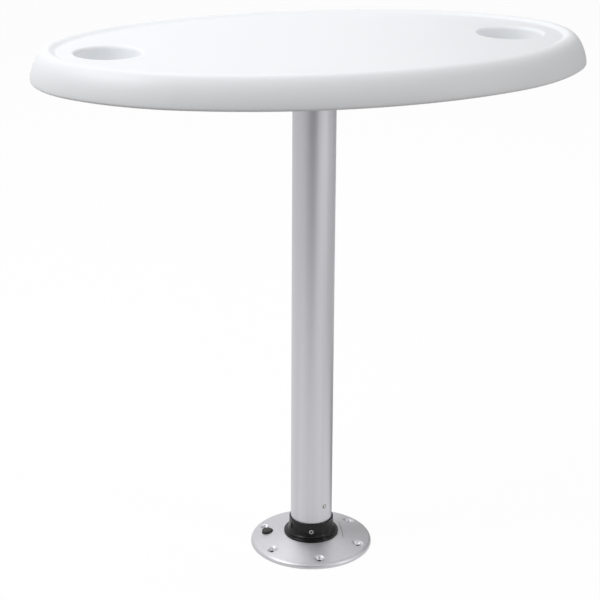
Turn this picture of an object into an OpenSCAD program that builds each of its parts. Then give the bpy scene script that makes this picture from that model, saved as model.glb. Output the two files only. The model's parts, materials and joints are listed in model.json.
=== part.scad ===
// Oval pedestal table on one pole, for a caravan, camper or boat.
// A moulded oval top with two cup wells stands on an anodised tube. The tube plugs into a
// surface-mounted base, where a nylon collar guides it and a sprung latch keeps it from turning.
// Origin: centre of the base's floor face. +X runs along the long axis of the oval, +Z is up.

/* [Tabletop] */
// Length of the oval top
top_l = 762; // [620:1:900]
// Width of the oval top
top_w = 457; // [380:1:560]
// Depth of the rim, from its crest to its lower edge
rim_h = 42.9; // [38:0.1:60]
// Height of the widest line of the rim above its lower edge
rim_belly = 4.4; // [4:0.1:8]
// How far the crest of the rim lies inside the widest line
rim_lean = 24.6; // [18:0.1:28]
// How far the lower edge of the rim turns in from the widest line
rim_tuck = 9; // [6:0.5:12]
// Height of the raised lip above the top's flat surface
lip_h = 4; // [2:0.25:6]
// Width of the slope from the lip's crest to the flat surface
lip_w = 11; // [8:0.5:14]
// Thickness of the moulded skin
skin = 4; // [3:0.25:5]

/* [Cup wells] */
// Bore of a cup well
cup_d = 86; // [70:1:94]
// Depth of a cup well below the flat surface
cup_depth = 50; // [40:1:60]
// Distance from each end of the top to the middle of its well
cup_in = 102; // [97:1:125]
// Radius that rolls the surface over into a well
cup_lip = 6; // [4:0.5:7]
// Wall of a cup well
cup_wall = 3; // [2.5:0.25:4]
// How much smaller the well's radius is at its floor
cup_draft = 2; // [1:0.25:3]

/* [Ribs under the top] */
// Thickness of a rib
rib_t = 3; // [2.5:0.25:4]
// Height of the ribs below the skin
rib_h = 16; // [10:1:18]
// Distance between the ribs that run lengthwise
rib_row = 90; // [84:1:94]
// Wall of the ring over the bracket
ring_t = 4; // [3:0.25:5]

/* [Post] */
// Outer diameter of the tube
post_d = 60.3; // [54:0.1:64]
// Wall of the tube
post_wall = 2; // [1.5:0.1:2.5]
// Length of the tube
post_l = 698.5; // [500:0.5:760]
// Thickness of the cap on the tube's top end
cap_t = 2; // [1.5:0.25:3]

/* [Base] */
// Diameter of the base plate
base_d = 177.8; // [174:0.1:200]
// Height of the plate where its edge begins to round over
edge_h = 8; // [7.5:0.1:9]
// Radius of the plate's rounded edge
edge_r = 5.5; // [4.5:0.25:6]
// Height of the plate under the collar's flange
crown_h = 17; // [16:0.1:18.5]
// Wall of the base plate
plate_t = 3; // [2.5:0.1:3.2]
// Diameter of the circle of floor screws
bolt_circle = 146; // [142:0.5:148]
// Number of floor screws
bolt_count = 6; // [4:2:6]
// Diameter of a floor screw hole
bolt_d = 5.5; // [4:0.1:6.5]
// Diameter of the dimple round a floor screw hole
dimple_d = 14.8; // [12:0.1:16]
// Turn of the whole base against the long axis of the top, in degrees
base_turn = -15.9; // [-30:0.1:30]
// Place of the first floor screw in the base, in degrees
bolt_turn = 40; // [36:1:42]

/* [Collar] */
// Height of the collar's top edge above the floor
collar_h = 43.5; // [40:0.5:56]
// Diameter of the collar's flange
flange_d = 80; // [78:0.5:84]
// Thickness of the flange at its edge
flange_t = 3.6; // [3:0.1:5]
// Height of the step in the flange, inside its rim
flange_step = 1; // [0.6:0.1:1.4]
// Wall of the collar's neck
collar_wall = 2; // [1.8:0.05:2.6]
// Wall of the collar's foot, inside the plate
foot_wall = 3.5; // [3:0.1:4]
// Diameter of the clamp screw
clamp_d = 6.4; // [5:0.1:7]
// Height of the clamp screw above the floor
clamp_h = 31.3; // [29:0.1:34]
// Place of the clamp screw in the base, in degrees
clamp_turn = -89; // [-95:1:-80]

/* [Latch] */
// Place of the release button in the base, in degrees
button_turn = 176; // [174:0.5:178]
// Distance of the release button from the post's axis
button_x = 65; // [64:0.5:66]
// Diameter of the release button
button_d = 16.4; // [15:0.1:17]
// How far the button stands out of the plate
button_up = 3.4; // [3:0.1:4.5]
// Travel of the button, and of the latch that it draws back
travel = 2.5; // [2.4:0.05:2.6]
// Width of the latch slide
slide_w = 12; // [11:0.5:13]
// Width of the latch's nose
nose_w = 6; // [4:0.5:7]
// Thickness of the latch slide
slide_t = 2.4; // [2:0.1:2.5]

/* [Table bracket] */
// Diameter of the bracket's plate
bracket_d = 177.8; // [168:0.1:190]
// Thickness of the bracket's plate
bracket_t = 5; // [4:0.25:6]
// Depth of the bracket's socket
socket_h = 40; // [34:1:50]
// Wall of the socket
socket_wall = 5; // [4:0.25:6]
// Wall of the bushing in the socket
bush_wall = 2.8; // [2:0.1:4]
// Diameter of the circle of screws into the top
screw_circle = 152; // [144:0.5:154]
// Diameter of a screw into the top
screw_d = 5; // [4:0.1:6]
// Length of a screw inside the top
screw_reach = 18; // [14:0.5:21]

/* [Clearances] */
// Radial gap of a running fit
fit = 0.08; // [0.05:0.01:0.1]
// Radial gap round a screw in its hole
screw_gap = 0.1; // [0.05:0.05:0.2]
// Gap between parts that pass each other
pass = 0.3; // [0.3:0.05:0.4]

/* [Hidden] */
$fn = 96;
over = 1; // overshoot of a cut past the face that it opens

// Colours
white_plastic = [0.93, 0.94, 0.95];
satin_aluminium = [0.76, 0.76, 0.78];
black_nylon = [0.09, 0.09, 0.09];
black_rubber = [0.05, 0.05, 0.05];
bright_steel = [0.72, 0.72, 0.70];
brass = [0.78, 0.62, 0.32];

// Radii
post_r = post_d / 2;
bore_r = post_r + fit;
base_r = base_d / 2;
flange_r = flange_d / 2;
neck_r = bore_r + collar_wall;
neck_flare = 0.8;
neck_foot_r = neck_r + neck_flare;
bolt_r = bolt_circle / 2;
screw_ring_r = screw_circle / 2;

// Latch, from the floor up
keeper_z = 1;
keeper_t = 1;
slide_z = keeper_z + keeper_t + 0.1;
slide_top = slide_z + slide_t;
pocket_z = slide_top + pass;
pocket_floor_t = 2.1;
pocket_floor_z = pocket_z + pocket_floor_t;

// Foot of the post, from the floor up
spigot_z = 1.5;
spigot_r = post_r - post_wall - fit;
ledge_drop = 7;
ledge_z = crown_h - ledge_drop;
washer_t = 1;
shoulder_t = 2.5;
shoulder_z = ledge_z + washer_t;
post_z = shoulder_z + shoulder_t;
post_top_z = post_z + post_l;
plug_h = 66;
plug_wall = 3;
spline_count = 12;
spline_depth = 2.4;
rivet_turn = -49.6;
rivet_z = 68.2;
rivet_r = 2;

// Foot of the collar
spigot_bore_r = spigot_r + fit;
collar_foot_r = bore_r + foot_wall;
crown_hole_r = collar_foot_r + screw_gap;
small_screw_r = 1.4;
flange_screw_r = (crown_hole_r + flange_r) / 2;
flange_screw_count = 4;
flange_screw_turn = 45;
flange_screw_reach = 1.9;

// Bracket and top, from the post up
bracket_z = post_top_z + cap_t;
pad_z = bracket_z + bracket_t;
pad_h = 25.5;
skin_z = pad_z + pad_h;
surface_z = skin_z + skin;
crest_z = surface_z + lip_h;
rim_z = crest_z - rim_h;
belly_z = rim_z + rim_belly;
bush_r = bore_r + bush_wall;
socket_out_r = bush_r + socket_wall;
socket_z = bracket_z - socket_h;
bush_lip = 4;
set_screw_z = socket_z + 18;
set_screw_r = 3;
screw_count = 6;
insert_r = 4;
insert_h = 12;
boss_r = 7;
ring_r = screw_ring_r + boss_r + 2;

// The oval is drawn with arcs of three radii that meet in line, close to an ellipse of its size
half_l = top_l / 2;
half_w = top_w / 2;
cup_x = half_l - cup_in;
flatness = 1 - half_w / half_l;
end_arc_r = pow(half_w, 2) / half_l * (1 + 0.19 * flatness);
side_arc_r = pow(half_l, 2) / half_w * (1 - 0.14 * flatness);
shoulder_arc_r = sqrt(end_arc_r * side_arc_r) * (1 + 0.1 * flatness);
end_centre = [half_l - end_arc_r, 0];
side_centre = [0, half_w - side_arc_r];
shoulder_centre =
    arc_meeting(end_centre, shoulder_arc_r - end_arc_r, side_centre, side_arc_r - shoulder_arc_r);
end_turn = heading(end_centre - shoulder_centre);
shoulder_turn = heading(shoulder_centre - side_centre);

// Each arc of the oval as centre, radius, first angle and last angle
half_arcs = [
    [end_centre, end_arc_r, -end_turn, end_turn],
    [shoulder_centre, shoulder_arc_r, end_turn, shoulder_turn],
    [side_centre, side_arc_r, shoulder_turn, 180 - shoulder_turn],
    [[-shoulder_centre[0], shoulder_centre[1]], shoulder_arc_r, 180 - shoulder_turn, 180 - end_turn]];
oval_arcs = concat(half_arcs, [for (a = half_arcs) [-a[0], a[1], a[2] + 180, a[3] + 180]]);

function heading(v) = atan2(v[1], v[0]);

// The point at distances r and s from two centres, on the origin's side of the line between them
function arc_meeting(p, r, q, s) =
    let (d = norm(q - p), e = (q - p) / d, along = (r * r - s * s + d * d) / (2 * d))
    p + along * e - sqrt(r * r - along * along) * [-e[1], e[0]];

// Outline of the oval moved in by inset, as points
chord_error = 0.25;
function oval(inset) = [for (a = oval_arcs)
    let (steps = ceil((a[3] - a[2]) * PI / 360 * sqrt(a[1] / (2 * chord_error)))) for (i = [0:steps - 1])
        let (t = a[2] + (a[3] - a[2]) * i / steps) a[0] + (a[1] - inset) * [cos(t), sin(t)]];

function arc(x, y, r, from, to, steps) = [for (i = [0:steps])
    let (t = from + (to - from) * i / steps) [x + r * cos(t), y + r * sin(t)]];

// A curve from p towards b, arriving at q from c
function bend(p, b, c, q, steps) = [for (i = [0:steps]) let (t = i / steps, u = 1 - t)
    u * u * u * p + 3 * u * u * t * b + 3 * u * t * t * c + t * t * t * q];

// Section of the rim as [inset, height] pairs, from the flat surface out, down and back inside
side_h = crest_z - belly_z;
deck_inset = rim_lean + lip_w;
lip_rise = [for (i = [0:5]) let (s = i / 5)
    [deck_inset - lip_w * s, surface_z + lip_h * (1 - cos(180 * s)) / 2]];
rim_side = bend(
    [rim_lean, crest_z], [rim_lean * 0.38, crest_z], [0, belly_z + side_h * 0.25], [0, belly_z], 9);
rim_under = [for (i = [1:4]) let (t = 22.5 * i) [rim_tuck * (1 - cos(t)), belly_z - rim_belly * sin(t)]];
rim_inside = bend([skin, belly_z + 1], [skin, belly_z + side_h * 0.25], [rim_lean * 0.5, skin_z],
    [deck_inset, skin_z], 6);
rim_section = concat(
    lip_rise, [for (i = [1:9]) rim_side[i]], rim_under,
    [[rim_tuck + skin, rim_z], [rim_tuck + skin, rim_z + 2]], rim_inside);

// Height of the base plate's top, a shallow cone between the rounded edge and the crown
edge_x = base_r - edge_r;
crown_x = flange_r + 0.5;
slope = (crown_h - edge_h) / (edge_x - crown_x);
function plate_top(x) = edge_h + (edge_x - x) * slope;

edge_steps = 12;

// Outline of the plate's top, moved down by drop, as [radius, height] pairs from the edge in
function plate_outline(drop) = concat(
    arc(base_r - edge_r, edge_h - edge_r, edge_r - drop, 0, 90 - atan(slope), edge_steps),
    [[crown_x, crown_h - drop], [crown_hole_r, crown_h - drop]]);

// Puts things at an angle and a distance in the base's own layout
module in_base(turn, x = 0) {
    rotate([0, 0, base_turn + turn]) translate([x, 0, 0]) children();
}

// Copies things evenly round the axis
module ring_of(count, x) {
    for (i = [0:count - 1]) rotate([0, 0, 360 * i / count]) translate([x, 0, 0]) children();
}

// Points outwards from the axis at a height
module outwards(turn, z) {
    rotate([0, 0, turn]) translate([0, 0, z]) rotate([0, 90, 0]) children();
}

// Stands a profile drawn in [x, z] upright, with a width along Y
module across(width) {
    rotate([90, 0, 0]) translate([0, 0, -width / 2]) linear_extrude(width) children();
}

module grub_screw(r, length, key_r, key_depth) {
    difference() {
        cylinder(h = length, r = r);
        translate([0, 0, length - key_depth]) cylinder(h = key_depth + over, r = key_r, $fn = 6);
    }
}

// Sweeps the rim's section round the oval
module rim() {
    n = len(oval(0));
    rings = len(rim_section);
    points = [for (p = rim_section) for (q = oval(p[0])) [q[0], q[1], p[1]]];
    faces = [for (k = [0:rings - 1]) for (i = [0:n - 1]) let (j = (i + 1) % n, m = (k + 1) % rings)
        each [[k * n + i, m * n + j, m * n + i], [k * n + i, k * n + j, m * n + j]]];
    polyhedron(points, faces);
}

module deck() {
    translate([0, 0, skin_z]) linear_extrude(skin) polygon(oval(deck_inset));
}

module cup_body() {
    bottom = surface_z - cup_depth - cup_wall;
    bevel = 2;
    translate([0, 0, bottom]) rotate_extrude() polygon([
        [0, 0], [cup_d / 2 + cup_wall - cup_draft - bevel, 0], [cup_d / 2 + cup_wall - cup_draft, bevel],
        [cup_d / 2 + cup_wall, surface_z - bottom - skin / 2], [0, surface_z - bottom - skin / 2]]);
}

module cup_hollow() {
    r = cup_d / 2;
    floor_fillet = 6;
    rotate_extrude() polygon(concat(
        [[0, over], [r + cup_lip, over]],
        arc(r + cup_lip, -cup_lip, cup_lip, 90, 180, 6),
        arc(r - cup_draft - floor_fillet, floor_fillet - cup_depth, floor_fillet, 0, -90, 5),
        [[0, -cup_depth]]));
}

module ribs() {
    frame_inset = deck_inset + 3;
    translate([0, 0, skin_z - rib_h]) linear_extrude(rib_h + skin / 2) {
        difference() {
            polygon(oval(frame_inset));
            polygon(oval(frame_inset + rib_t));
        }
        intersection() {
            polygon(oval(frame_inset + 1));
            union() {
                for (x = [-cup_x, 0, cup_x]) translate([x - rib_t / 2, -half_w]) square([rib_t, top_w]);
                for (y = [-1.5, -0.5, 0.5, 1.5])
                    translate([-half_l, y * rib_row - rib_t / 2]) square([top_l, rib_t]);
            }
        }
    }
}

module mounting_pad() {
    translate([0, 0, pad_z]) {
        difference() {
            cylinder(h = pad_h + skin / 2, r = ring_r);
            translate([0, 0, -over]) cylinder(h = pad_h + over, r = ring_r - ring_t);
        }
        ring_of(screw_count, screw_ring_r) cylinder(h = pad_h + skin / 2, r = boss_r);
    }
}

module tabletop() {
    color(white_plastic) difference() {
        union() {
            rim();
            deck();
            for (x = [-cup_x, cup_x]) translate([x, 0, 0]) cup_body();
            ribs();
            mounting_pad();
        }
        for (x = [-cup_x, cup_x]) translate([x, 0, surface_z]) cup_hollow();
        translate([0, 0, pad_z - over]) ring_of(screw_count, screw_ring_r) {
            cylinder(h = insert_h + over, r = insert_r);
            cylinder(h = pad_h - 2, r = screw_d / 2 + screw_gap);
        }
    }
}

module bracket_inserts() {
    color(brass) translate([0, 0, pad_z]) ring_of(screw_count, screw_ring_r) difference() {
        cylinder(h = insert_h, r = insert_r);
        translate([0, 0, -over]) cylinder(h = insert_h + 2 * over, r = screw_d / 2);
    }
}

module table_bracket() {
    gusset_t = 4;
    gusset_r = bracket_d / 2 - 22;
    color(satin_aluminium) difference() {
        union() {
            translate([0, 0, bracket_z]) cylinder(h = bracket_t, r = bracket_d / 2);
            translate([0, 0, socket_z]) cylinder(h = socket_h + over, r = socket_out_r);
            for (i = [0:5]) rotate([0, 0, 30 + 60 * i]) across(gusset_t) polygon([
                [socket_out_r - 1, socket_z + 8], [socket_out_r + 1, socket_z + 8], [gusset_r, bracket_z - 1],
                [gusset_r, bracket_z + 1], [socket_out_r - 1, bracket_z + 1]]);
        }
        translate([0, 0, socket_z - over]) cylinder(h = socket_h + over, r = bush_r);
        translate([0, 0, bracket_z - over]) ring_of(screw_count, screw_ring_r)
            cylinder(h = bracket_t + 2 * over, r = screw_d / 2 + screw_gap);
        for (turn = [90, -90]) outwards(turn, set_screw_z)
            cylinder(h = socket_out_r + over, r = set_screw_r + screw_gap);
    }
}

module bracket_screws() {
    head_r = 4.8;
    head_t = 3;
    color(bright_steel) ring_of(screw_count, screw_ring_r) translate([0, 0, bracket_z]) {
        difference() {
            translate([0, 0, -head_t]) cylinder(h = head_t, r1 = head_r * 0.75, r2 = head_r);
            translate([0, 0, -head_t - over]) cylinder(h = 1.6 + over, r = 1.9, $fn = 6);
        }
        translate([0, 0, -0.5]) cylinder(h = bracket_t + screw_reach + 0.5, r = screw_d / 2);
    }
}

module upper_bushing() {
    color(black_nylon) difference() {
        union() {
            translate([0, 0, socket_z - bush_lip])
                cylinder(h = bush_lip, r1 = bush_r + 1.5, r2 = bush_r + 3.5);
            translate([0, 0, socket_z - over]) cylinder(h = socket_h + over - 0.5, r = bush_r);
        }
        translate([0, 0, socket_z - bush_lip - over])
            cylinder(h = socket_h + bush_lip + 2 * over, r = bore_r);
        for (turn = [90, -90]) outwards(turn, set_screw_z)
            cylinder(h = bush_r + over, r = set_screw_r + screw_gap);
    }
}

module bracket_set_screws() {
    color(bright_steel) for (turn = [90, -90]) outwards(turn, set_screw_z)
        translate([0, 0, post_r + pass]) grub_screw(set_screw_r, socket_out_r - post_r, 1.7, 3);
}

module rivet_holes() {
    for (turn = [0, 180]) outwards(base_turn + rivet_turn + turn, rivet_z)
        cylinder(h = post_r + over, r = rivet_r + fit);
}

module post() {
    color(satin_aluminium) difference() {
        translate([0, 0, post_z]) cylinder(h = post_l, r = post_r);
        translate([0, 0, post_z - over]) cylinder(h = post_l + 2 * over, r = post_r - post_wall);
        rivet_holes();
    }
}

module post_cap() {
    depth = 14;
    color(black_nylon) rotate_extrude() polygon([
        [0, bracket_z], [post_r - 0.5, bracket_z], [post_r, bracket_z - 0.5], [post_r, post_top_z],
        [spigot_r, post_top_z], [spigot_r, post_top_z - depth], [spigot_r - plug_wall, post_top_z - depth],
        [spigot_r - plug_wall, post_top_z], [0, post_top_z]]);
}

module post_foot() {
    hub_r = spigot_r - 12;
    color(black_nylon) difference() {
        rotate_extrude() polygon([
            [hub_r, spigot_z], [spigot_r - 1, spigot_z], [spigot_r, spigot_z + 1], [spigot_r, shoulder_z],
            [post_r, shoulder_z], [post_r, post_z], [spigot_r, post_z], [spigot_r, post_z + plug_h - 2],
            [spigot_r - 1, post_z + plug_h], [spigot_r - plug_wall, post_z + plug_h],
            [spigot_r - plug_wall, post_z + 4], [hub_r, post_z]]);
        in_base(button_turn) ring_of(spline_count, spigot_r - spline_depth)
            translate([0, -nose_w / 2 - pass, spigot_z - over])
                cube([spline_depth + over, nose_w + 2 * pass, slide_top + pass - spigot_z + over]);
        rivet_holes();
    }
}

module foot_rivets() {
    tail = post_r - spigot_r + plug_wall + 0.8;
    head_r = 3.2;
    head_h = 1.3;
    core_r = 0.9;
    core_depth = 0.5;
    dome_r = (head_r * head_r + head_h * head_h) / (2 * head_h);
    color(bright_steel) for (turn = [0, 180]) outwards(base_turn + rivet_turn + turn, rivet_z)
        translate([0, 0, post_r]) rotate_extrude() polygon(concat(
            [[0, -tail], [rivet_r, -tail], [rivet_r, 0]],
            arc(0, head_h - dome_r, dome_r, acos(head_r / dome_r), acos(core_r / dome_r), 5),
            [[core_r, -core_depth], [0, -core_depth]]));
}

module foot_washer() {
    color(black_rubber) translate([0, 0, ledge_z]) difference() {
        cylinder(h = washer_t, r = bore_r - 0.2);
        translate([0, 0, -over]) cylinder(h = washer_t + 2 * over, r = spigot_bore_r + 0.2);
    }
}

module plate_shell() {
    bevel = 1.4;
    foot_x = base_r - bevel - 3;
    inner = plate_outline(plate_t);
    rotate_extrude() polygon(concat(
        [[foot_x, 0], [base_r - bevel, 0], [base_r, bevel]],
        plate_outline(0),
        [for (i = [len(inner) - 1:-1:0]) if (inner[i][0] < foot_x) inner[i]],
        [[foot_x, edge_h - edge_r]]));
}

// The plate as if it were solid, to trim what it carries underneath
module plate_solid() {
    drop = plate_t / 2;
    rotate_extrude() polygon(concat(
        [[0, 0], [base_r - drop, 0]], plate_outline(drop), [[0, crown_h - drop]]));
}

ear_x = 48;
ear_y = slide_w / 2 + 6;
rail_x = 42;
rail_l = 13;
rail_t = 2;
pocket_wall = 2.3;

// What the plate carries underneath: screw bosses, the button's pocket and the latch's rails
module plate_bosses() {
    in_base(bolt_turn) ring_of(bolt_count, bolt_r) cylinder(h = crown_h, r = dimple_d / 2 - 0.2);
    in_base(button_turn, button_x) translate([0, 0, pocket_z])
        cylinder(h = crown_h, r = button_d / 2 + pass + pocket_wall);
    in_base(button_turn) for (side = [0, 1]) mirror([0, side, 0]) translate([0, 0, keeper_z + keeper_t]) {
        translate([rail_x, slide_w / 2 + pass, 0]) cube([rail_l, rail_t, crown_h]);
        translate([ear_x, ear_y, 0]) cylinder(h = crown_h, r = 3.4);
    }
}

// The button's stem leans out as it rises, so pressing it draws the latch outwards
blade_t = 2.4;
blade_w = 3.4;
blade_z = 2.8;
blade_top_z = slide_top + travel + 0.3;
blade_mid_z = slide_z + slide_t / 2 + 0.5;
function blade_x(z) = z - blade_mid_z;
function blade_profile(from_z, to_z, grow) = [
    [blade_x(from_z) - blade_t / 2 - grow, from_z], [blade_x(from_z) + blade_t / 2 + grow, from_z],
    [blade_x(to_z) + blade_t / 2 + grow, to_z], [blade_x(to_z) - blade_t / 2 - grow, to_z]];

// Cuts a countersink with a rolled shoulder, square to the plate's slope
module screw_dimple() {
    shoulder_r = 6;
    rim_slope = 10;
    sink_slope = 50;
    rim_r = dimple_d / 2 + 2;
    out_r = rim_r + 1;
    tip_r = bolt_d / 2 - 1.4;
    clear_h = 3;
    shoulder = arc(rim_r, -shoulder_r, shoulder_r, 90 + rim_slope, 90 + sink_slope, 5);
    first = shoulder[0];
    last = shoulder[5];
    tip_z = last[1] - (last[0] - tip_r) * tan(sink_slope);
    rotate_extrude() polygon(concat(
        [[0, clear_h], [out_r, clear_h], [out_r, first[1] + (out_r - first[0]) * tan(rim_slope)]],
        shoulder, [[tip_r, tip_z], [0, tip_z]]));
}

module base_plate() {
    color(satin_aluminium) difference() {
        union() {
            plate_shell();
            intersection() {
                plate_solid();
                plate_bosses();
            }
        }
        translate([0, 0, -over]) cylinder(h = crown_h + 2 * over, r = crown_hole_r);
        in_base(bolt_turn) ring_of(bolt_count, bolt_r) {
            translate([0, 0, -over]) cylinder(h = crown_h, r = bolt_d / 2);
            translate([0, 0, plate_top(bolt_r)]) rotate([0, atan(slope), 0]) screw_dimple();
        }
        in_base(button_turn, button_x) {
            translate([0, 0, pocket_floor_z]) cylinder(h = crown_h, r = button_d / 2 + pass);
            translate([blade_x(blade_z) - blade_t / 2 - pass, -blade_w / 2 - pass, 0])
                cube([blade_top_z - blade_z + blade_t + 2 * pass, blade_w + 2 * pass, crown_h]);
        }
        in_base(flange_screw_turn) ring_of(flange_screw_count, flange_screw_r)
            cylinder(h = crown_h + over, r = small_screw_r + screw_gap);
        in_base(button_turn, ear_x) for (y = [-ear_y, ear_y])
            translate([0, y, 0]) cylinder(h = keeper_z + keeper_t + 5, r = small_screw_r + screw_gap);
    }
}

module base_collar() {
    top_round = 0.8;
    flange_top = crown_h + flange_t;
    step_top = flange_top + flange_step;
    rim_round = 1.3;
    step_round = 0.8;
    flare_r = (flange_r - neck_foot_r) / 2;
    flare_x = neck_foot_r + flare_r;
    color(black_nylon) difference() {
        rotate_extrude() polygon(concat(
            [[spigot_bore_r, spigot_z], [collar_foot_r, spigot_z], [collar_foot_r, crown_h],
             [flange_r - 0.3, crown_h], [flange_r, crown_h + 0.4]],
            arc(flange_r - rim_round, flange_top - rim_round, rim_round, 0, 90, 7),
            [[flare_x + step_round, flange_top]],
            arc(flare_x, step_top - step_round, step_round, 0, 90, 4),
            arc(flare_x, step_top + flare_r, flare_r, 262, 182, 8),
            arc(neck_r - top_round, collar_h - top_round, top_round, 0, 90, 5),
            [[bore_r + 0.6, collar_h], [bore_r, collar_h - 1], [bore_r, ledge_z], [spigot_bore_r, ledge_z]]));
        outwards(base_turn + clamp_turn, clamp_h) cylinder(h = flange_r, r = clamp_d / 2 + screw_gap);
        in_base(button_turn) translate([0, -nose_w / 2 - pass, 0])
            cube([flange_r, nose_w + 2 * pass, slide_top + pass]);
        in_base(flange_screw_turn) ring_of(flange_screw_count, flange_screw_r)
            translate([0, 0, crown_h - over])
                cylinder(h = flange_screw_reach + 0.5 + over, r = small_screw_r + screw_gap);
    }
}

module collar_screws() {
    head_t = 1.8;
    color(bright_steel) in_base(flange_screw_turn) ring_of(flange_screw_count, flange_screw_r)
        translate([0, 0, crown_h - plate_t]) {
            translate([0, 0, -head_t]) cylinder(h = head_t, r1 = 1.8, r2 = 2.6);
            translate([0, 0, -0.5]) cylinder(h = plate_t + flange_screw_reach + 0.5, r = small_screw_r);
        }
}

module clamp_screw() {
    proud = 0.2;
    length = neck_foot_r + proud - post_r - pass;
    color(bright_steel) outwards(base_turn + clamp_turn, clamp_h)
        translate([0, 0, post_r + pass]) grub_screw(clamp_d / 2, length, 1.7, 1.9);
}

module release_button() {
    r = button_d / 2;
    top_z = plate_top(button_x) + button_up;
    skirt_z = pocket_floor_z + travel + 0.1;
    roof_t = 1.4;
    wall = 1.3;
    edge_round = 2.2;
    color(black_nylon) in_base(button_turn, button_x) {
        difference() {
            rotate_extrude() polygon(concat(
                [[0, skirt_z], [r - 0.3, skirt_z], [r, skirt_z + 0.3]],
                arc(r - edge_round, top_z - edge_round, edge_round, 0, 78, 7),
                [[0, top_z + 0.4]]));
            translate([0, 0, skirt_z - over]) cylinder(h = top_z - roof_t - skirt_z + over, r = r - wall);
        }
        across(blade_w) polygon(blade_profile(blade_z, blade_top_z, 0));
        translate([blade_x(blade_top_z) - blade_t / 2, -blade_w / 2, blade_top_z - 0.2])
            cube([blade_t, blade_w, top_z - roof_t / 2 - blade_top_z + 0.2]);
    }
}

spring_wire = 0.7;
spring_r = 5.9;
spring_turns = 3;
module button_spring() {
    sides = 6;
    steps = 16 * spring_turns;
    low = pocket_floor_z + spring_wire / 2;
    high = plate_top(button_x) + button_up - 1.4 - spring_wire / 2;
    points = [for (i = [0:steps])
        let (a = 360 * spring_turns * i / steps, z = low + (high - low) * i / steps)
        for (k = [0:sides - 1]) let (b = 360 * k / sides, x = spring_r + spring_wire / 2 * cos(b))
            [x * cos(a), x * sin(a), z + spring_wire / 2 * sin(b)]];
    sleeve = [for (i = [0:steps - 1]) for (k = [0:sides - 1])
        let (p = i * sides, q = p + sides, m = (k + 1) % sides)
            each [[p + k, p + m, q + m], [p + k, q + m, q + k]]];
    ends = [[for (k = [sides - 1:-1:0]) k], [for (k = [0:sides - 1]) steps * sides + k]];
    color(bright_steel) in_base(button_turn, button_x) polyhedron(points, concat(sleeve, ends));
}

module latch_slide() {
    nose_x = spigot_r - 2;
    shoulder_x = collar_foot_r + pass;
    end_x = button_x + 6.5;
    color(bright_steel) in_base(button_turn) difference() {
        translate([0, 0, slide_z]) linear_extrude(slide_t) union() {
            translate([nose_x, -nose_w / 2]) square([shoulder_x - nose_x + 1, nose_w]);
            translate([shoulder_x, -slide_w / 2]) square([end_x - shoulder_x, slide_w]);
        }
        translate([button_x, 0, 0]) across(blade_w + 2 * pass)
            polygon(blade_profile(slide_z - over, slide_top + over, 0.1));
    }
}

module keeper_plate() {
    start_x = 38;
    end_x = button_x + 9;
    color(bright_steel) in_base(button_turn) translate([0, 0, keeper_z])
        linear_extrude(keeper_t) difference() {
            union() {
                translate([start_x, -slide_w / 2 - 1.5]) square([end_x - start_x, slide_w + 3]);
                translate([ear_x - 4.5, -ear_y - 4]) square([9, 2 * ear_y + 8]);
            }
            for (y = [-ear_y, ear_y]) translate([ear_x, y]) circle(r = small_screw_r + screw_gap);
            translate([button_x - 4, -blade_w / 2 - pass]) square([9, blade_w + 2 * pass]);
        }
}

module keeper_screws() {
    head_t = 0.8;
    color(bright_steel) in_base(button_turn, ear_x) for (y = [-ear_y, ear_y]) translate([0, y, keeper_z]) {
        translate([0, 0, -head_t]) cylinder(h = head_t, r = 2.6);
        translate([0, 0, -0.3]) cylinder(h = keeper_t + 4.5, r = small_screw_r);
    }
}

tabletop();
bracket_inserts();
table_bracket();
bracket_screws();
upper_bushing();
bracket_set_screws();
post();
post_cap();
post_foot();
foot_rivets();
foot_washer();
base_plate();
base_collar();
collar_screws();
clamp_screw();
release_button();
button_spring();
latch_slide();
keeper_plate();
keeper_screws();
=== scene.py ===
import json
import math
import bpy
import bmesh
from mathutils import Matrix, Vector


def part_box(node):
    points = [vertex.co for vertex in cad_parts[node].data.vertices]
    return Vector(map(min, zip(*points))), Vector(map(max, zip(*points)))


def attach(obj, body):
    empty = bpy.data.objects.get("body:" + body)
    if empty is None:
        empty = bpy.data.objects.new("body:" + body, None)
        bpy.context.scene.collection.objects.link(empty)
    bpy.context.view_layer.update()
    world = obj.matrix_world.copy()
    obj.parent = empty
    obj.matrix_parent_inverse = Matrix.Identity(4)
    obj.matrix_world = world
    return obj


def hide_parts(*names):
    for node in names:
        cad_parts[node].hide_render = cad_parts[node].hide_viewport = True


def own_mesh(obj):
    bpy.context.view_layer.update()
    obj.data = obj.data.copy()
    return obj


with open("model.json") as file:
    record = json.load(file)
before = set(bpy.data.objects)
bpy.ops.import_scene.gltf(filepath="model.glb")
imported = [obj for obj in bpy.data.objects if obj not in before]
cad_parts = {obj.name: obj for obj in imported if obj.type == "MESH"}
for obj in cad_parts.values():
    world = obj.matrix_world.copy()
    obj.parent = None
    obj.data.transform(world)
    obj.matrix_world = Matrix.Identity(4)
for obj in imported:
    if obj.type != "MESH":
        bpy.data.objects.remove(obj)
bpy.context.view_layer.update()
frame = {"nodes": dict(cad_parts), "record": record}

MM = 0.001


# Camera

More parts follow.
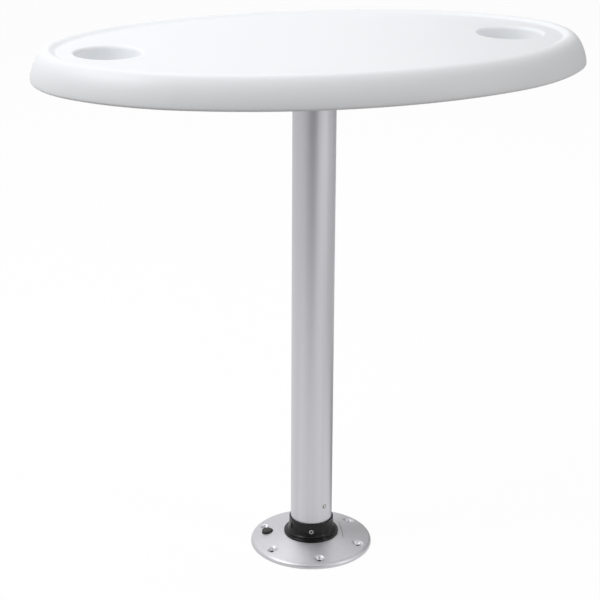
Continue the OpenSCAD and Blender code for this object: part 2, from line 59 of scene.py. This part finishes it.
def make_camera():
    """Camera fitted to the photograph's edges: place, heading, pitch and roll in the part's own frame."""
    heading, pitch, roll = math.radians(15.14), math.radians(20.08), math.radians(0.32)
    place = Vector((-0.6115, -2.1900, 1.2119))
    flat = math.cos(pitch)
    ahead = Vector((math.sin(heading) * flat, math.cos(heading) * flat, -math.sin(pitch)))
    level = Vector((math.cos(heading), -math.sin(heading), 0.0))
    rise = level.cross(ahead)
    right = math.cos(roll) * level + math.sin(roll) * rise
    up = -math.sin(roll) * level + math.cos(roll) * rise
    data = bpy.data.cameras.new("photo_camera")
    data.sensor_width = 36.0
    data.sensor_fit = "HORIZONTAL"
    data.lens = 102.92
    data.clip_start, data.clip_end = 0.05, 40.0
    cam = bpy.data.objects.new("photo_camera", data)
    bpy.context.scene.collection.objects.link(cam)
    cam.matrix_world = Matrix((
        (right.x, up.x, -ahead.x, place.x),
        (right.y, up.y, -ahead.y, place.y),
        (right.z, up.z, -ahead.z, place.z),
        (0, 0, 0, 1)))
    bpy.context.scene.camera = cam


# Materials

NOISE_SPAN = (0.3, 0.7)
SCRATCH_CORE, SCRATCH_EDGE, SCRATCH_FADE, SCRATCH_SHADE = 0.35 * MM, 0.75 * MM, 8 * MM, 0.45
# Painted shade inside the plate's bolt holes
HOLE_DARK, HOLE_CLEAR, HOLE_SHADE_TONE = 0.1 * MM, 0.4 * MM, (0.02, 0.02, 0.02)
# Painted shade for the recesses and edges of small steel parts
PAINTED_SHADE_TONE = (0.03, 0.03, 0.03)


class Finish:
    """A principled material with a short way to write its node tree."""

    def __init__(self, name, colour):
        self.mat = bpy.data.materials.new(name)
        self.mat.use_nodes = True
        self.mat.diffuse_color = (*colour, 1)
        self.tree = self.mat.node_tree
        self.tree.nodes.clear()
        out = self.add("ShaderNodeOutputMaterial")
        self.shader = self.add("ShaderNodeBsdfPrincipled")
        self.link(self.shader, "BSDF", out, "Surface")
        self.set(self.shader, "Base Color", (*colour, 1))

    def add(self, kind, **values):
        node = self.tree.nodes.new(kind)
        for key, value in values.items():
            setattr(node, key, value)
        return node

    def link(self, a, out, b, into):
        self.tree.links.new(a.outputs[out], b.inputs[into])

    def set(self, node, name, value):
        node.inputs[name].default_value = value

    def coords(self, scale=(1, 1, 1)):
        coord = self.add("ShaderNodeTexCoord")
        mapping = self.add("ShaderNodeMapping")
        self.set(mapping, "Scale", scale)
        self.link(coord, "Object", mapping, "Vector")
        return mapping

    def noise(self, mapping, scale, detail=2.0, rough=0.5):
        node = self.add("ShaderNodeTexNoise")
        self.set(node, "Scale", scale)
        self.set(node, "Detail", detail)
        self.set(node, "Roughness", rough)
        self.link(mapping, "Vector", node, "Vector")
        return node.outputs["Fac"]

    def maths(self, kind, a, b=None):
        node = self.add("ShaderNodeMath", operation=kind)
        for value, slot in ((a, 0), (b, 1)):
            if value is None:
                continue
            if isinstance(value, (int, float)):
                node.inputs[slot].default_value = value
            else:
                self.tree.links.new(value, node.inputs[slot])
        return node.outputs[0]

    def ramp(self, source, low, high, a, b):
        node = self.add("ShaderNodeMapRange")
        self.set(node, "From Min", low)
        self.set(node, "From Max", high)
        self.set(node, "To Min", a)
        self.set(node, "To Max", b)
        self.tree.links.new(source, node.inputs["Value"])
        return node.outputs["Result"]

    def mix(self, factor, colour_a, colour_b):
        node = self.add("ShaderNodeMix", data_type="RGBA")
        self.tree.links.new(factor, node.inputs[0])
        for colour, slot in ((colour_a, 6), (colour_b, 7)):
            if isinstance(colour, tuple):
                node.inputs[slot].default_value = (*colour, 1)
            else:
                self.tree.links.new(colour, node.inputs[slot])
        return node.outputs[2]

    def bump(self, height, strength, distance, after=None):
        node = self.add("ShaderNodeBump")
        self.set(node, "Strength", strength)
        self.set(node, "Distance", distance)
        self.tree.links.new(height, node.inputs["Height"])
        if after is not None:
            self.tree.links.new(after, node.inputs["Normal"])
        return node.outputs["Normal"]

    def placed(self, at, turn):
        """Object coordinates measured from a point, with X along a heading from +X."""
        coord = self.add("ShaderNodeTexCoord")
        place = self.add("ShaderNodeMapping", vector_type="TEXTURE")
        self.set(place, "Location", at)
        self.set(place, "Rotation", (0, 0, turn))
        self.link(coord, "Object", place, "Vector")
        return place.outputs["Vector"]

    def reach(self, vector, keep):
        """Length of a vector in the directions that keep names with 1."""
        flat = self.add("ShaderNodeVectorMath", operation="MULTIPLY")
        flat.inputs[1].default_value = keep
        self.tree.links.new(vector, flat.inputs[0])
        size = self.add("ShaderNodeVectorMath", operation="LENGTH")
        self.link(flat, "Vector", size, 0)
        return size.outputs["Value"]

    def ring_reach(self, radius, count, turn):
        """Distance from the nearest of a ring of upright axes, the first one at the given heading."""
        vector = self.placed((0, 0, 0), turn)
        parts = self.add("ShaderNodeSeparateXYZ")
        self.tree.links.new(vector, parts.inputs[0])
        sector = math.tau / count
        angle = self.maths("ARCTAN2", parts.outputs["Y"], parts.outputs["X"])
        nearest = self.maths("ROUND", self.maths("DIVIDE", angle, sector))
        off = self.maths("SUBTRACT", angle, self.maths("MULTIPLY", nearest, sector))
        across = self.maths("MULTIPLY", off, radius)
        out = self.maths("SUBTRACT", self.reach(vector, (1, 1, 0)), radius)
        squares = self.maths("ADD", self.maths("POWER", self.maths("ABSOLUTE", across), 2),
                             self.maths("POWER", self.maths("ABSOLUTE", out), 2))
        return self.maths("SQRT", squares)

    def finish(self, colour, rough, normal, metallic=0.0):
        for source, name in ((colour, "Base Color"), (rough, "Roughness"), (normal, "Normal")):
            self.tree.links.new(source, self.shader.inputs[name])
        self.set(self.shader, "Metallic", metallic)
        return self.mat


def moulded_white():
    """White moulded plastic: a fine orange-peel skin, faint cloudiness and a soft gloss."""
    m = Finish("moulded_white", (0.90, 0.912, 0.93))
    at = m.coords()
    cloud = m.noise(at, 9.0, 3.0)
    colour = m.mix(cloud, (0.893, 0.905, 0.924), (0.908, 0.920, 0.937))
    peel = m.bump(m.noise(at, 950.0), 0.10, 0.0002)
    normal = m.bump(m.noise(at, 60.0), 0.05, 0.0006, peel)
    return m.finish(colour, m.ramp(cloud, *NOISE_SPAN, 0.40, 0.47), normal)


def anodised(name, colour, along=(1, 1, 0.02), rough=(0.38, 0.46), streaks=0.03, metallic=0.72,
             hairline=None, holes=None):
    """Clear-anodised aluminium: a satin sheen with very fine lines the way it was drawn or turned.

    A hairline is a scratch from one point to another, in metres. Holes give the pitch radius, number,
    first heading and radius of a ring of upright holes, which are painted dark inside as shade.
    """
    m = Finish(name, colour)
    at = m.coords(along)
    lines = m.noise(at, 1500.0, 3.0, 0.6)
    bands = m.noise(m.coords((1, 1, along[2] * 0.5)), 120.0, 2.0)
    dark = tuple(c * (1 - streaks) for c in colour)
    light = tuple(min(1.0, c * (1 + streaks)) for c in colour)
    tone = m.mix(m.ramp(bands, 0.35, 0.65, 0, 1), dark, light)
    if hairline:
        start, end = (Vector(p) for p in hairline)
        run = end - start
        half = run.xy.length / 2
        from_line = m.placed((start + end) / 2, math.atan2(run.y, run.x))
        beside = m.ramp(m.reach(from_line, (0, 1, 0)), SCRATCH_CORE, SCRATCH_EDGE, 1, 0)
        along_it = m.ramp(m.reach(from_line, (1, 0, 0)), half - SCRATCH_FADE, half, 1, 0)
        tone = m.mix(m.maths("MULTIPLY", beside, along_it), tone, tuple(c * SCRATCH_SHADE for c in colour))
    if holes:
        pitch_r, count, turn, hole_r = holes
        # Painted shade: dark inside each bolt hole and just round it
        from_hole = m.ring_reach(pitch_r, count, turn)
        inside = m.ramp(from_hole, hole_r + HOLE_DARK, hole_r + HOLE_CLEAR, 1, 0)
        tone = m.mix(inside, tone, HOLE_SHADE_TONE)
    return m.finish(tone, m.ramp(lines, *NOISE_SPAN, *rough), m.bump(lines, 0.05, 0.00005), metallic)


def black_plastic(name, colour=(0.018, 0.018, 0.019), rough=(0.24, 0.34), specular=0.35):
    """Black plastic with a moulded grain and a slight smear in its gloss."""
    m = Finish(name, colour)
    at = m.coords()
    smear = m.noise(at, 45.0, 3.0)
    tone = m.mix(smear, tuple(c * 0.8 for c in colour), tuple(c * 1.3 for c in colour))
    grain = m.bump(m.noise(at, 900.0, 3.0), 0.08, 0.0001)
    m.set(m.shader, "Specular IOR Level", specular)
    return m.finish(tone, m.ramp(smear, *NOISE_SPAN, *rough), grain)


def level_axis(node):
    """The middle and heading of the node's level round part, or of the first one of a pair."""
    points = [v.co for v in frame["nodes"][node].data.vertices]
    near = [p for p in points if p.xy.dot(points[0].xy) > 0]
    middle = sum(near, Vector()) / len(near)
    return middle, math.atan2(middle.y, middle.x)


def steel(name, colour=(0.62, 0.61, 0.59), rough=(0.22, 0.34), painted_shade=None):
    """Turned steel or brass of small parts.

    The last argument gives a level round part's node and two radii in mm: its face is plain at the first
    and painted dark from the second on, as painted shade in a screw's socket and round a rivet head.
    """
    m = Finish(name, colour)
    turning = m.noise(m.coords(), 1200.0)
    tone = m.mix(turning, tuple(c * 0.93 for c in colour), colour)
    # Painted shade: the face is darkened by its distance from the part's axis
    if painted_shade:
        node, unshaded_r, painted_shade_r = painted_shade
        off_axis = m.reach(m.placed(*level_axis(node)), (0, 1, 1))
        tone = m.mix(m.ramp(off_axis, unshaded_r * MM, painted_shade_r * MM, 0, 1), tone, PAINTED_SHADE_TONE)
    return m.finish(tone, m.ramp(turning, *NOISE_SPAN, *rough), m.bump(turning, 0.06, 0.00005), 1.0)


def dress(node, mat):
    """Gives a CAD node a better material."""
    mesh = frame["nodes"][node].data
    mesh.materials.clear()
    mesh.materials.append(mat)


# Moulded top, in millimetres worked out from its CAD node's box

HALF_L, HALF_W, CREST_Z = Vector(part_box("tabletop")[1]) / MM
END_EASE, SIDE_EASE, MID_EASE = 0.19, -0.14, 0.1
LIP_H, LIP_W, SKIN = 4.0, 11.0, 4.0
RIM_H, HEM_H, LEAN, TUCK = 42.9, 4.4, 24.6, 9.0
CREST_PULL, BELLY_PULL = 0.38, 0.25
SURFACE_Z = CREST_Z - LIP_H
SKIN_Z = SURFACE_Z - SKIN
RIM_Z = CREST_Z - RIM_H
BELLY_Z = RIM_Z + HEM_H
DECK_INSET = LEAN + LIP_W
CUP_INSET, CUP_R, CUP_LIP, CUP_DEPTH, CUP_WALL, CUP_DRAFT, CUP_ROUND = 102.0, 43.0, 6.0, 50.0, 3.0, 2.0, 6.0
CUP_X = HALF_L - CUP_INSET
RIB_T, RIB_H, RIB_ROW, RIB_INSET = 3.0, 16.0, 90.0, 3.0
PAD_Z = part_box("table_bracket")[1][2] / MM
PAD_EDGE, PAD_T = 2.0, 4.0
SCREWS, SCREW_RING, BOSS_R, PILOT_R, INSERT_R, INSERT_H, INSERT_GAP = 6, 76.0, 7.0, 2.6, 4.0, 12.0, 0.02
CREASE, LEVEL = math.radians(35.0), 0.99999


def oval_arcs():
    """The top's outline as tangent arcs: centre, radius, first angle, last angle and number of steps.

    The eases say how far the radii leave those of an ellipse.
    """
    flat = 1 - HALF_W / HALF_L
    end_r = HALF_W ** 2 / HALF_L * (1 + END_EASE * flat)
    side_r = HALF_L ** 2 / HALF_W * (1 + SIDE_EASE * flat)
    mid_r = math.sqrt(end_r * side_r) * (1 + MID_EASE * flat)
    end, side = Vector((HALF_L - end_r, 0)), Vector((0, HALF_W - side_r))
    apart = (side - end).length
    along = (side - end) / apart
    reach = ((mid_r - end_r) ** 2 - (side_r - mid_r) ** 2 + apart ** 2) / (2 * apart)
    off = math.sqrt((mid_r - end_r) ** 2 - reach ** 2)
    mid = end + reach * along - off * Vector((-along.y, along.x))
    a = math.atan2(end.y - mid.y, end.x - mid.x)
    b = math.atan2(mid.y - side.y, mid.x - side.x)
    half = [(end, end_r, -a, a, 48), (mid, mid_r, a, b, 24), (side, side_r, b, math.pi - b, 44),
            (Vector((-mid.x, mid.y)), mid_r, math.pi - b, math.pi - a, 24)]
    return half + [(-centre, r, f + math.pi, t + math.pi, n) for centre, r, f, t, n in half]


OVAL = oval_arcs()


def oval(inset):
    """Points of the top's outline, moved in by inset."""
    points = []
    for centre, r, first, last, steps in OVAL:
        for i in range(steps):
            turn = first + (last - first) * i / steps
            points.append((centre.x + (r - inset) * math.cos(turn), centre.y + (r - inset) * math.sin(turn)))
    return points


def circle(x, y, r, steps=96):
    turns = [math.tau * i / steps for i in range(steps)]
    return [(x + r * math.cos(t), y + r * math.sin(t)) for t in turns]


def rounding(x, y, r, first, last, steps):
    """Points on an arc, with its angles in degrees."""
    turns = [math.radians(first + (last - first) * i / steps) for i in range(steps + 1)]
    return [(x + r * math.cos(t), y + r * math.sin(t)) for t in turns]


def bend(p, b, c, q, steps):
    """Points on a curve that leaves p towards b and reaches q from c."""
    points = []
    for i in range(steps + 1):
        t = i / steps
        weights = ((1 - t) ** 3, 3 * (1 - t) ** 2 * t, 3 * (1 - t) * t ** 2, t ** 3)
        points.append(tuple(sum(w * v[k] for w, v in zip(weights, (p, b, c, q))) for k in (0, 1)))
    return points


def rim_section():
    """Section of the rim as inset and height: over the lip, down the side, round the hem and back inside."""
    steps = 14
    lip = [(DECK_INSET - LIP_W * i / steps, SURFACE_Z + LIP_H * (1 - math.cos(math.pi * i / steps)) / 2)
           for i in range(steps + 1)]
    pull_z = BELLY_Z + (CREST_Z - BELLY_Z) * BELLY_PULL
    side = bend((LEAN, CREST_Z), (LEAN * CREST_PULL, CREST_Z), (0, pull_z), (0, BELLY_Z), 30)[1:]
    quarter = [math.radians(10 * i) for i in range(1, 10)]
    under = [(TUCK * (1 - math.cos(t)), BELLY_Z - (BELLY_Z - RIM_Z) * math.sin(t)) for t in quarter]
    hem = [(TUCK + SKIN, RIM_Z), (TUCK + SKIN, RIM_Z + 2)]
    inside = bend((SKIN, BELLY_Z + 1), (SKIN, pull_z), (LEAN / 2, SKIN_Z), (DECK_INSET, SKIN_Z), 16)
    return lip + side + under + hem + inside


def loop(bm, points, z):
    return [bm.verts.new((x * MM, y * MM, z * MM)) for x, y in points]


def bridge(bm, loops):
    """Quads between each loop and the next."""
    for low, high in zip(loops, loops[1:]):
        for i in range(len(low)):
            j = (i + 1) % len(low)
            bm.faces.new((low[i], low[j], high[j], high[i]))


def edges_of(bm, ring):
    pairs = zip(ring, ring[1:] + ring[:1])
    return [bm.edges.get(pair) or bm.edges.new(pair) for pair in pairs]


def new_piece(name, bm):
    bmesh.ops.recalc_face_normals(bm, faces=bm.faces)
    mesh = bpy.data.meshes.new(name)
    bm.to_mesh(mesh)
    bm.free()
    piece = bpy.data.objects.new(name, mesh)
    bpy.context.scene.collection.objects.link(piece)
    return piece


def prism(outlines, low, high):
    """Upright solids on closed outlines that don't meet."""
    bm = bmesh.new()
    for outline in outlines:
        loops = [loop(bm, outline, low), loop(bm, outline, high)]
        bridge(bm, loops)
        bm.faces.new(loops[0])
        bm.faces.new(loops[1])
    return new_piece("tool", bm)


def wall(outer, inner, low, high):
    """An upright wall between two outlines of as many points."""
    bm = bmesh.new()
    loops = [loop(bm, outer, low), loop(bm, outer, high), loop(bm, inner, high), loop(bm, inner, low)]
    bridge(bm, loops + loops[:1])
    return new_piece("tool", bm)


def drop(piece):
    mesh = piece.data
    bpy.data.objects.remove(piece)
    bpy.data.meshes.remove(mesh)


def combine(target, tool, operation):
    """Applies a boolean of the tool to the target and removes the tool."""
    modifier = target.modifiers.new("combine", "BOOLEAN")
    modifier.operation = operation
    modifier.solver = "MANIFOLD"
    modifier.object = tool
    shape = bpy.data.meshes.new_from_object(target.evaluated_get(bpy.context.evaluated_depsgraph_get()))
    target.modifiers.clear()
    old, target.data = target.data, shape
    bpy.data.meshes.remove(old)
    drop(tool)


def smooth(piece):
    """Smooth shading, but sharp edges where faces meet at a crease, and flat level faces."""
    mesh = piece.data
    mesh.shade_smooth()
    mesh.set_sharp_from_angle(angle=CREASE)
    for face in mesh.polygons:
        if abs(face.normal.z) > LEVEL:
            face.use_smooth = False


def top_shell():
    """The rim, the deck and the two cup wells as one closed skin."""
    bm = bmesh.new()
    rings = [loop(bm, oval(inset), z) for inset, z in rim_section()]
    bridge(bm, rings)
    above, below = edges_of(bm, rings[0]), edges_of(bm, rings[-1])
    floor_r = CUP_R - CUP_DRAFT - CUP_ROUND
    well = (rounding(CUP_R + CUP_LIP, -CUP_LIP, CUP_LIP, 90, 180, 12)
            + rounding(floor_r, CUP_ROUND - CUP_DEPTH, CUP_ROUND, 0, -90, 10))
    base_z = SURFACE_Z - CUP_DEPTH - CUP_WALL
    body_r = CUP_R + CUP_WALL
    body = [(body_r - 0.1, SKIN_Z), (body_r - 2, base_z + 2), (body_r - 2.6, base_z + 0.6),
            (body_r - 4, base_z)]
    for x in (-CUP_X, CUP_X):
        inner = [loop(bm, circle(x, 0, r, 112), SURFACE_Z + z) for r, z in well]
        outer = [loop(bm, circle(x, 0, r), z) for r, z in body]
        bridge(bm, inner)
        bridge(bm, outer)
        bm.faces.new(inner[-1])
        bm.faces.new(outer[-1])
        above += edges_of(bm, inner[0])
        below += edges_of(bm, outer[0])
    bmesh.ops.triangle_fill(bm, use_beauty=True, edges=above)
    bmesh.ops.triangle_fill(bm, use_beauty=True, edges=below)
    return new_piece("tabletop_moulding", bm)


def rib_grid():
    """Ribs under the deck: long rows, ribs across at the middle and the wells, and one round the edge."""
    low, high = SKIN_Z - RIB_H, SKIN_Z + SKIN / 2
    inset = DECK_INSET + RIB_INSET

    def bar(x0, x1, y0, y1):
        return prism([[(x0, y0), (x1, y0), (x1, y1), (x0, y1)]], low, high)

    half = RIB_T / 2
    bars = [bar(-HALF_L, HALF_L, k * RIB_ROW - half, k * RIB_ROW + half) for k in (-1.5, -0.5, 0.5, 1.5)]
    bars += [bar(x - half, x + half, -HALF_W, HALF_W) for x in (-CUP_X, 0, CUP_X)]
    grid = bars[0]
    for tool in bars[1:]:
        combine(grid, tool, "UNION")
    combine(grid, prism([oval(inset + 1)], low - 1, high + 1), "INTERSECT")
    combine(grid, prism([circle(x, 0, CUP_R + CUP_WALL / 2) for x in (-CUP_X, CUP_X)], low - 1, high + 1),
            "DIFFERENCE")
    combine(grid, wall(oval(inset), oval(inset + RIB_T), low, high), "UNION")
    return grid


def bracket_pad():
    """The ring and bosses that stand on the bracket."""
    high = SKIN_Z + SKIN / 2
    ring_r = SCREW_RING + BOSS_R + PAD_EDGE
    pad = wall(circle(0, 0, ring_r, 144), circle(0, 0, ring_r - PAD_T, 144), PAD_Z, high)
    for x, y in circle(0, 0, SCREW_RING, SCREWS):
        combine(pad, prism([circle(x, y, BOSS_R, 48)], PAD_Z, high), "UNION")
    return pad


def make_tabletop(mat):
    """The moulded top as one piece in place of its CAD node."""
    top = top_shell()
    combine(top, rib_grid(), "UNION")
    combine(top, bracket_pad(), "UNION")
    places = circle(0, 0, SCREW_RING, SCREWS)
    seats = [circle(x, y, INSERT_R + INSERT_GAP, 40) for x, y in places]
    pilots = [circle(x, y, PILOT_R, 32) for x, y in places]
    combine(top, prism(seats, PAD_Z - 1, PAD_Z + INSERT_H), "DIFFERENCE")
    combine(top, prism(pilots, PAD_Z - 1, SKIN_Z - 2), "DIFFERENCE")
    smooth(top)
    top.data.materials.clear()
    top.data.materials.append(mat)
    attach(top, "table")
    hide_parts("tabletop")


# Studio

WHITE = (1, 1, 1, 1)
FLOOR_REACH = 12
UNDER_EDGE = 3 * MM


def seen_directly(tree):
    """1 for rays that show a surface itself: from the camera, in a reflection or through a clear face."""
    path = tree.nodes.new("ShaderNodeLightPath")
    first = tree.nodes.new("ShaderNodeMath")
    first.operation = "MAXIMUM"
    both = tree.nodes.new("ShaderNodeMath")
    both.operation = "MAXIMUM"
    tree.links.new(path.outputs["Is Camera Ray"], first.inputs[0])
    tree.links.new(path.outputs["Is Glossy Ray"], first.inputs[1])
    tree.links.new(first.outputs[0], both.inputs[0])
    tree.links.new(path.outputs["Is Transmission Ray"], both.inputs[1])
    return both.outputs[0]


def make_world(strength, seen_strength):
    """White where it is seen, and an even light on matt surfaces, each at its own strength."""
    world = bpy.data.worlds.new("studio")
    bpy.context.scene.world = world
    world.use_nodes = True
    tree = world.node_tree
    light = tree.nodes["Background"]
    light.inputs["Color"].default_value = WHITE
    light.inputs["Strength"].default_value = strength
    seen = tree.nodes.new("ShaderNodeBackground")
    seen.inputs["Color"].default_value = WHITE
    seen.inputs["Strength"].default_value = seen_strength
    mix = tree.nodes.new("ShaderNodeMixShader")
    tree.links.new(seen_directly(tree), mix.inputs[0])
    tree.links.new(light.outputs[0], mix.inputs[1])
    tree.links.new(seen.outputs[0], mix.inputs[2])
    tree.links.new(mix.outputs[0], tree.nodes["World Output"].inputs["Surface"])


def stage_plane(name, corners):
    mesh = bpy.data.meshes.new(name)
    mesh.from_pydata(corners, [], [(0, 1, 2, 3)])
    plane = bpy.data.objects.new(name, mesh)
    bpy.context.scene.collection.objects.link(plane)
    return plane


def make_floor(bounce, shade, glow, painted_shade_r):
    """A floor that looks white with a soft shadow, has a painted shadow under the base, and is clear from
    below.

    Bounce is the colour in which it throws light back at matt surfaces. Shade is how much of the lamps'
    light shows on it, and glow the rest of its white. The last argument is the radius of the painted shadow.
    """
    floor = stage_plane("floor", [
        (x * FLOOR_REACH, y * FLOOR_REACH, 0) for x, y in ((-1, -1), (1, -1), (1, 1), (-1, 1))])
    mat = bpy.data.materials.new("floor")
    mat.use_nodes = True
    tree = mat.node_tree
    tree.nodes.clear()
    out = tree.nodes.new("ShaderNodeOutputMaterial")
    dull = tree.nodes.new("ShaderNodeBsdfDiffuse")
    dull.inputs["Color"].default_value = (*bounce, 1)
    pale = tree.nodes.new("ShaderNodeBsdfDiffuse")
    pale.inputs["Color"].default_value = (shade, shade, shade, 1)
    emission = tree.nodes.new("ShaderNodeEmission")
    emission.inputs["Color"].default_value = WHITE
    emission.inputs["Strength"].default_value = glow
    both = tree.nodes.new("ShaderNodeAddShader")
    mix = tree.nodes.new("ShaderNodeMixShader")
    tree.links.new(pale.outputs[0], both.inputs[0])
    tree.links.new(emission.outputs[0], both.inputs[1])
    tree.links.new(seen_directly(tree), mix.inputs[0])
    tree.links.new(dull.outputs[0], mix.inputs[1])
    tree.links.new(both.outputs[0], mix.inputs[2])
    coord = tree.nodes.new("ShaderNodeTexCoord")
    size = tree.nodes.new("ShaderNodeVectorMath")
    size.operation = "LENGTH"
    # Painted shadow: dark within a radius under the base plate
    under = tree.nodes.new("ShaderNodeMath")
    under.operation = "LESS_THAN"
    under.inputs[1].default_value = painted_shade_r
    dark = tree.nodes.new("ShaderNodeBsdfDiffuse")
    dark.inputs["Color"].default_value = (0.01, 0.01, 0.01, 1)
    split = tree.nodes.new("ShaderNodeMixShader")
    tree.links.new(coord.outputs["Object"], size.inputs[0])
    tree.links.new(size.outputs["Value"], under.inputs[0])
    tree.links.new(under.outputs[0], split.inputs[0])
    tree.links.new(mix.outputs[0], split.inputs[1])
    tree.links.new(dark.outputs[0], split.inputs[2])
    side = tree.nodes.new("ShaderNodeNewGeometry")
    clear = tree.nodes.new("ShaderNodeBsdfTransparent")
    face = tree.nodes.new("ShaderNodeMixShader")
    tree.links.new(side.outputs["Backfacing"], face.inputs[0])
    tree.links.new(split.outputs[0], face.inputs[1])
    tree.links.new(clear.outputs[0], face.inputs[2])
    tree.links.new(face.outputs[0], out.inputs["Surface"])
    floor.data.materials.append(mat)


def gloss_card(name, tone, corners):
    """A grey card beside the view: only gloss shows it, and it neither lights nor shades matt surfaces."""
    card = stage_plane(name, corners)
    card.visible_camera = card.visible_diffuse = card.visible_shadow = False
    mat = bpy.data.materials.new(name)
    mat.use_nodes = True
    tree = mat.node_tree
    tree.nodes.clear()
    out = tree.nodes.new("ShaderNodeOutputMaterial")
    dull = tree.nodes.new("ShaderNodeBsdfDiffuse")
    dull.inputs["Color"].default_value = (tone, tone, tone, 1)
    tree.links.new(dull.outputs[0], out.inputs["Surface"])
    card.data.materials.append(mat)


def standing_card(name, tone, a, b, height):
    gloss_card(name, tone, [(*a, 0.0), (*b, 0.0), (*b, height), (*a, height)])


def lamp(name, place, aim, size, power, colour):
    data = bpy.data.lights.new(name, "AREA")
    data.shape = "RECTANGLE"
    data.size, data.size_y = size
    data.energy = power
    data.color = colour
    light = bpy.data.objects.new(name, data)
    bpy.context.scene.collection.objects.link(light)
    light.location = place
    light.rotation_euler = (Vector(aim) - Vector(place)).to_track_quat("-Z", "Y").to_euler()


def studio():
    bpy.context.scene.view_settings.view_transform = "Standard"
    make_world(strength=0.44, seen_strength=0.98)
    make_floor(bounce=(0.34, 0.33, 0.325), shade=0.06, glow=0.945,
               painted_shade_r=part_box("base_plate")[1][0] - UNDER_EDGE)
    gloss_card("front_card", 0.46, [
        (-3.0, -1.8, 0.002), (-0.25, -3.2, 0.002), (0.05, -1.45, 0.002), (-1.75, -0.35, 0.002)])
    standing_card("camera_card", 0.06, (-2.3, -2.7), (0.3, -3.4), 2.6)
    gloss_card("near_card", 0.35, [
        (0.08, 0.03, 0.001), (0.70, 0.10, 0.001), (0.65, 0.80, 0.001), (0.05, 0.13, 0.001)])
    gloss_card("right_card", 0.8, [
        (0.35, -1.0, 0.002), (2.6, -1.6, 0.002), (3.4, 1.2, 0.002), (1.3, 1.7, 0.002)])
    standing_card("far_card", 0.6, (1.7, 4.0), (3.6, 0.6), 3.0)
    lamp("key", (-2.5, -0.3, 3.1), (0, 0, 0.6), (1.6, 1.6), 53, (0.975, 0.99, 1.0))
    lamp("fill", (2.4, -2.2, 1.3), (0, 0, 0.4), (0.4, 1.4), 15, (1.0, 0.99, 0.985))
    lamp("top", (-0.3, 1.3, 2.9), (0, 0, 0.6), (2.4, 1.6), 20, (0.98, 0.99, 1.0))


# The button's spring

def make_spring(mat):
    """The spring in its CAD shape, as a piece of its own on the base."""
    piece = bpy.data.objects.new("coil_spring", frame["nodes"]["button_spring"].data.copy())
    bpy.context.scene.collection.objects.link(piece)
    piece.data.materials.clear()
    piece.data.materials.append(mat)
    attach(piece, "base")
    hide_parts("button_spring")
    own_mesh(piece)


# The object

make_camera()
studio()

white = moulded_white()
tube_metal = anodised("anodised_tube", (0.66, 0.655, 0.685))
scratch = ((49.4 * MM, 23.9 * MM, 14 * MM), (40.9 * MM, -32.4 * MM, 14 * MM))
bolts = next(m["dims"] for m in frame["record"]["mounts"] if m["name"] == "floor_screws")
first_bolt = math.radians(24.1)
plate_metal = anodised("anodised_plate", (0.60, 0.597, 0.622), along=(1, 1, 1), streaks=0.015,
                       hairline=scratch,
                       holes=(bolts["pcd_mm"] / 2 * MM, bolts["count"], first_bolt, bolts["hole_r_mm"] * MM))
cast_metal = anodised("bracket_metal", (0.54, 0.54, 0.55), along=(1, 1, 1), rough=(0.40, 0.55), streaks=0.02)
nylon = black_plastic("black_nylon", rough=(0.32, 0.42))
collar_plastic = black_plastic("collar_plastic", (0.006, 0.006, 0.006), (0.11, 0.17), 0.24)
button_plastic = black_plastic("button_plastic", (0.014, 0.014, 0.012), (0.28, 0.38))
rubber = black_plastic("black_rubber", (0.016, 0.016, 0.016), (0.6, 0.75))
screw_steel = steel("screw_steel")
# Painted shade inside the hex socket
socket_steel = steel("clamp_screw_steel", painted_shade=("clamp_screw", 1.9, 1.5))
# Painted shade round the rivet head's edge
rivet_steel = steel("rivet_steel", painted_shade=("foot_rivets", 2.0, 3.0))
latch_steel = steel("latch_steel", (0.52, 0.52, 0.51), (0.30, 0.45))
brass = steel("insert_brass", (0.72, 0.53, 0.24), (0.25, 0.38))

make_tabletop(white)
make_spring(screw_steel)
for node, mat in {
        "bracket_inserts": brass, "table_bracket": cast_metal, "bracket_screws": screw_steel,
        "upper_bushing": nylon, "bracket_set_screws": screw_steel, "post": tube_metal,
        "post_cap": nylon, "post_foot": nylon, "foot_rivets": rivet_steel, "foot_washer": rubber,
        "base_plate": plate_metal, "base_collar": collar_plastic, "collar_screws": screw_steel,
        "clamp_screw": socket_steel, "release_button": button_plastic, "latch_slide": latch_steel,
        "keeper_plate": latch_steel, "keeper_screws": screw_steel}.items():
    dress(node, mat)
